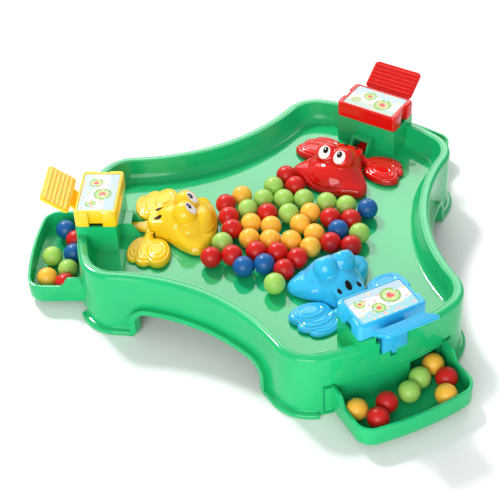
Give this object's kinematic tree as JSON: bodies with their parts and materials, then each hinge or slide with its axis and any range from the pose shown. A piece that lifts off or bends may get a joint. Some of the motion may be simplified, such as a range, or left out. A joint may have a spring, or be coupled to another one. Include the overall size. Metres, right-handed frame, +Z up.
{
  "type": "frog marble table game",
  "caption": "Tabletop game: a three-cornered tray with lever-driven frogs that snap at marbles, and catch trays outside its corners.",
  "frame": {"origin": "under the middle of the whole game's box, on the table", "axes": "+Z up; -Y towards the blue corner, whose catch tray faces the viewer; +X right, with the red corner at the back right and the yellow one at the back left"},
  "size_m": [0.3508, 0.3092, 0.0794],
  "materials": {
    "tray_green": "glossy",
    "frog_blue": "glossy",
    "frog_red": "glossy",
    "frog_yellow": "glossy",
    "sticker": "satin",
    "marble_red": "glossy",
    "marble_orange": "glossy",
    "marble_green": "satin",
    "marble_blue": "glossy"
  },
  "bodies": {
    "base": {"chute_blue": "tray_green", "chute_red": "tray_green", "chute_yellow": "tray_green", "cover_blue": "frog_blue", "cover_red": "frog_red", "cover_yellow": "frog_yellow", "label_blue": "sticker", "label_red": "sticker", "label_yellow": "sticker", "tray": "tray_green"},
    "snapper_blue": {"lever_blue": "frog_blue", "frog_blue": "frog_blue", "feet_blue": "frog_blue"},
    "catcher_blue": {"catch_tray_blue": "tray_green", "caught_blue_green_1": "marble_green", "caught_blue_orange_1": "marble_orange", "caught_blue_orange_2": "marble_orange", "caught_blue_orange_3": "marble_orange", "caught_blue_red_1": "marble_red", "caught_blue_red_2": "marble_red"},
    "snapper_red": {"lever_red": "frog_red", "frog_red": "frog_red", "feet_red": "frog_red"},
    "catcher_red": {"catch_tray_red": "tray_green", "caught_red_orange_1": "marble_orange"},
    "snapper_yellow": {"lever_yellow": "frog_yellow", "frog_yellow": "frog_yellow", "feet_yellow": "frog_yellow"},
    "catcher_yellow": {"catch_tray_yellow": "tray_green", "caught_yellow_blue_1": "marble_blue", "caught_yellow_blue_2": "marble_blue", "caught_yellow_green_1": "marble_green", "caught_yellow_green_2": "marble_green", "caught_yellow_orange_1": "marble_orange", "caught_yellow_red_1": "marble_red", "caught_yellow_red_2": "marble_red"},
    "marbles_in_play": {"board_blue_1": "marble_blue", "board_blue_2": "marble_blue", "board_blue_3": "marble_blue", "board_green_1": "marble_green", "board_green_2": "marble_green", "board_green_3": "marble_green", "board_green_4": "marble_green", "board_green_5": "marble_green", "board_green_6": "marble_green", "board_green_7": "marble_green", "board_green_8": "marble_green", "board_orange_1": "marble_orange", "board_orange_2": "marble_orange", "board_orange_3": "marble_orange", "board_orange_4": "marble_orange", "board_orange_5": "marble_orange", "board_red_1": "marble_red", "board_red_2": "marble_red", "board_red_3": "marble_red", "board_red_4": "marble_red", "board_red_5": "marble_red", "board_red_6": "marble_red", "board_red_7": "marble_red", "board_red_8": "marble_red"}
  },
  "joints": [
    {"name": "lever_pivot_blue", "type": "hinge", "parent": "base", "child": "snapper_blue", "pos_m": [0, -0.11051, 0.044], "axis": [1, 0, 0], "range_deg": [0, 9.5]},
    {"name": "catch_tray_pull_blue", "type": "slide", "parent": "base", "child": "catcher_blue", "axis": [0, -1, 0], "range_m": [0, 0.04]},
    {"name": "lever_pivot_red", "type": "hinge", "parent": "base", "child": "snapper_red", "pos_m": [0.12211, 0.10099, 0.044], "axis": [-0.5, 0.866, 0], "range_deg": [0, 9.5]},
    {"name": "catch_tray_pull_red", "type": "slide", "parent": "base", "child": "catcher_red", "axis": [0.866, 0.5, 0], "range_m": [0, 0.04]},
    {"name": "lever_pivot_yellow", "type": "hinge", "parent": "base", "child": "snapper_yellow", "pos_m": [-0.12211, 0.10099, 0.044], "axis": [-0.5, -0.866, 0], "range_deg": [0, 9.5]},
    {"name": "catch_tray_pull_yellow", "type": "slide", "parent": "base", "child": "catcher_yellow", "axis": [-0.866, 0.5, 0], "range_m": [0, 0.04]},
    {"name": "marbles_lift_out", "type": "slide", "parent": "base", "child": "marbles_in_play", "axis": [0, 0, 1], "range_m": [0, 0.08]}
  ]
}
